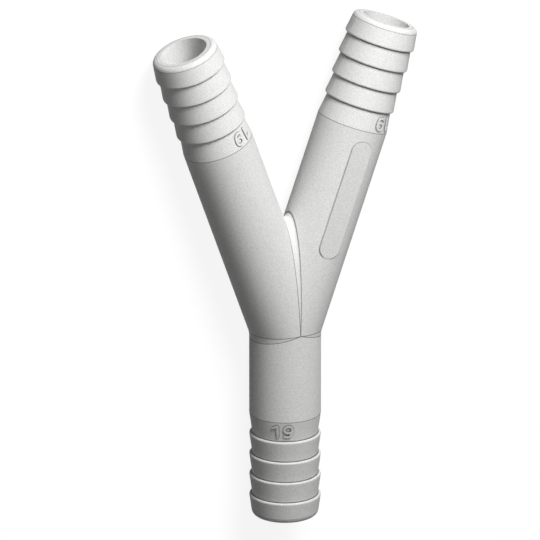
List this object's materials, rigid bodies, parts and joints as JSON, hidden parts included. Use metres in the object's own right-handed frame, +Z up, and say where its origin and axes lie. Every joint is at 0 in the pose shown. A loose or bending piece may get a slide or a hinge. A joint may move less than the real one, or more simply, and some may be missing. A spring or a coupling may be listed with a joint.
{
  "type": "tubing y connector",
  "caption": "Moulded Y connector that joins flexible hoses, with a barbed tail and an open bore at each end.",
  "frame": {"origin": "middle of the footprint, on the surface that the connector lies on", "axes": "+Z up from that surface, +Y from the stem towards the two arms, +X towards the arm with the plate"},
  "size_m": [0.078, 0.1424, 0.0199],
  "materials": {
    "moulded_plastic": "fine satin, light grey"
  },
  "bodies": {
    "root": {"connector_body": "moulded_plastic"}
  },
  "joints": []
}
